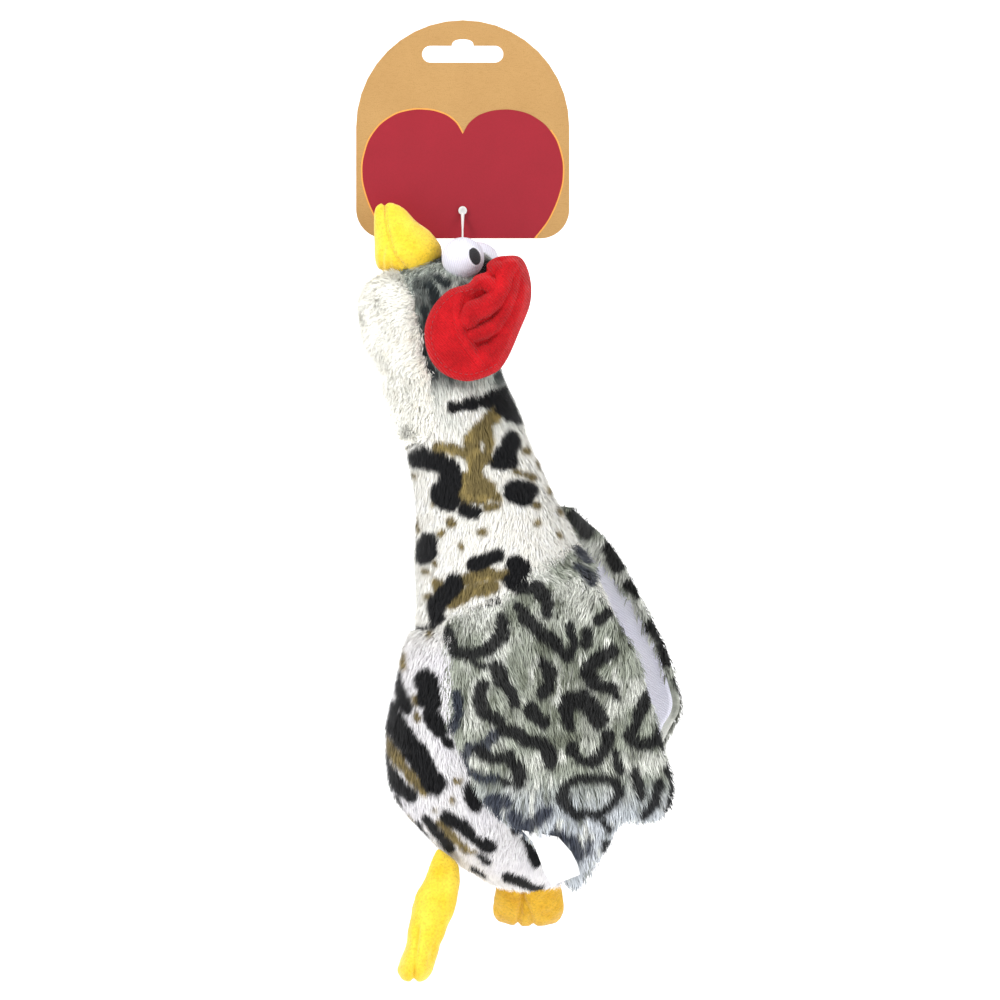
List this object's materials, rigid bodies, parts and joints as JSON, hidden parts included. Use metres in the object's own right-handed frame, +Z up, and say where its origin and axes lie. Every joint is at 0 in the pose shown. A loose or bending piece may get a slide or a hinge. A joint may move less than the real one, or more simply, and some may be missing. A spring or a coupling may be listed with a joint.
{
  "type": "plush squeaky bird toy",
  "caption": "Stuffed plush bird dog toy with printed fur, fleece beak, comb and feet, flapping wings and a squeaker, hanging from a slotted card by a tag pin.",
  "frame": {"origin": "centre of the hanging slot, halfway through the card's thickness", "axes": "+Z up the card towards the hook, +Y out of the card's back, and the bird hangs in front at -Y and faces -X"},
  "size_m": [0.1314, 0.1016, 0.3775],
  "materials": {
    "kraft_card": "printed kraft board with fine flecks and a crimson heart",
    "clear_nylon": "milky clear nylon",
    "grey_fur": "grey-green long pile fake fur printed with black rings",
    "cream_fur": "cream short pile fake fur printed with black and olive patches",
    "white_fur": "warm white short curly pile",
    "fibre_fill": "loose polyester fibre",
    "yellow_fleece": "brushed polyester fleece",
    "mustard_fleece": "brushed polyester fleece, darker",
    "red_fleece": "ribbed brushed fleece, topstitched",
    "white_tricot": "fine ribbed tricot, soft shine",
    "lining_tricot": "smooth brushed tricot, lavender white",
    "black_thread": "satin stitch embroidery",
    "squeaker_plastic": "soft milky polyethylene",
    "white_satin": "white satin tape, unprinted"
  },
  "bodies": {
    "card": {"hang_card": "kraft_card"},
    "pin": {"tag_pin": "clear_nylon"},
    "head": {"head_fur_left": "grey_fur", "head_fur_right": "grey_fur", "throat_panel": "white_fur", "head_stuffing": "fibre_fill", "lower_beak": "yellow_fleece", "upper_beak": "yellow_fleece", "left_eye": "white_tricot", "right_eye": "white_tricot", "left_pupil": "black_thread", "right_pupil": "black_thread"},
    "comb": {"comb_inner_layer": "red_fleece", "comb_outer_layer": "red_fleece"},
    "neck": {"neck_fur_left": "cream_fur", "neck_fur_right": "cream_fur", "neck_stuffing": "fibre_fill"},
    "belly": {"belly_fur_left": "cream_fur", "belly_fur_right": "cream_fur", "belly_stuffing_left": "fibre_fill", "belly_stuffing_right": "fibre_fill", "squeaker_base": "squeaker_plastic", "squeaker_reed": "squeaker_plastic"},
    "squeaker_button": {"squeaker_cap": "squeaker_plastic"},
    "left_wing": {"left_wing_fur": "grey_fur", "left_wing_lining": "lining_tricot"},
    "right_wing": {"right_wing_fur": "grey_fur", "right_wing_lining": "lining_tricot"},
    "left_leg": {"left_leg_outside": "yellow_fleece", "left_leg_inside": "yellow_fleece", "left_leg_stuffing": "fibre_fill"},
    "right_leg": {"right_leg_outside": "mustard_fleece", "right_leg_inside": "mustard_fleece", "right_leg_stuffing": "fibre_fill"},
    "label": {"care_label": "white_satin"}
  },
  "joints": [
    {"name": "pin_swing", "type": "hinge", "parent": "card", "child": "pin", "pos_m": [0, 0, -0.0616], "axis": [0, 1, 0], "range_deg": [-8, 30]},
    {"name": "head_hang", "type": "hinge", "parent": "pin", "child": "head", "pos_m": [0, -0.0164, -0.0806], "axis": [1, 0, 0], "range_deg": [-10, 10]},
    {"name": "head_nod", "type": "hinge", "parent": "head", "child": "neck", "pos_m": [-0.005, -0.0164, -0.1326], "axis": [0, 1, 0], "range_deg": [-25, 30], "stiffness_Nm_per_rad": 0.4, "springref_deg": -3.15, "deforming": ["throat_panel", "neck_stuffing"]},
    {"name": "neck_bend", "type": "hinge", "parent": "neck", "child": "belly", "pos_m": [0.005, -0.0164, -0.1646], "axis": [1, 0, 0], "range_deg": [-25, 25], "stiffness_Nm_per_rad": 0.4, "deforming": ["neck_fur_left", "neck_fur_right"]},
    {"name": "comb_flop", "type": "hinge", "parent": "head", "child": "comb", "pos_m": [0.0205, -0.017, -0.1046], "axis": [0, 0, 1], "range_deg": [0, 100], "stiffness_Nm_per_rad": 0.004},
    {"name": "left_wing_flap", "type": "hinge", "parent": "belly", "child": "left_wing", "pos_m": [0.03, -0.052, -0.1926], "axis": [-1, 0, 0], "range_deg": [0, 110]},
    {"name": "right_wing_flap", "type": "hinge", "parent": "belly", "child": "right_wing", "pos_m": [0.038, 0.0174, -0.1778], "axis": [1, 0, 0], "range_deg": [0, 110]},
    {"name": "left_leg_swing", "type": "hinge", "parent": "belly", "child": "left_leg", "pos_m": [-0.005, -0.0294, -0.3176], "axis": [0, 1, 0], "range_deg": [-8, 50], "stiffness_Nm_per_rad": 0.02},
    {"name": "right_leg_swing", "type": "hinge", "parent": "belly", "child": "right_leg", "pos_m": [0.026, 0.0036, -0.3146], "axis": [0, 1, 0], "range_deg": [-30, 25], "stiffness_Nm_per_rad": 0.02},
    {"name": "label_flip", "type": "hinge", "parent": "left_wing", "child": "label", "pos_m": [0.028, -0.0637, -0.3126], "axis": [-0.3746, 0, -0.9272], "range_deg": [0, 120], "stiffness_Nm_per_rad": 0.0005},
    {"name": "squeaker_press", "type": "slide", "parent": "belly", "child": "squeaker_button", "axis": [0, 1, 0], "range_m": [0, 0.006], "stiffness_N_per_m": 500}
  ]
}
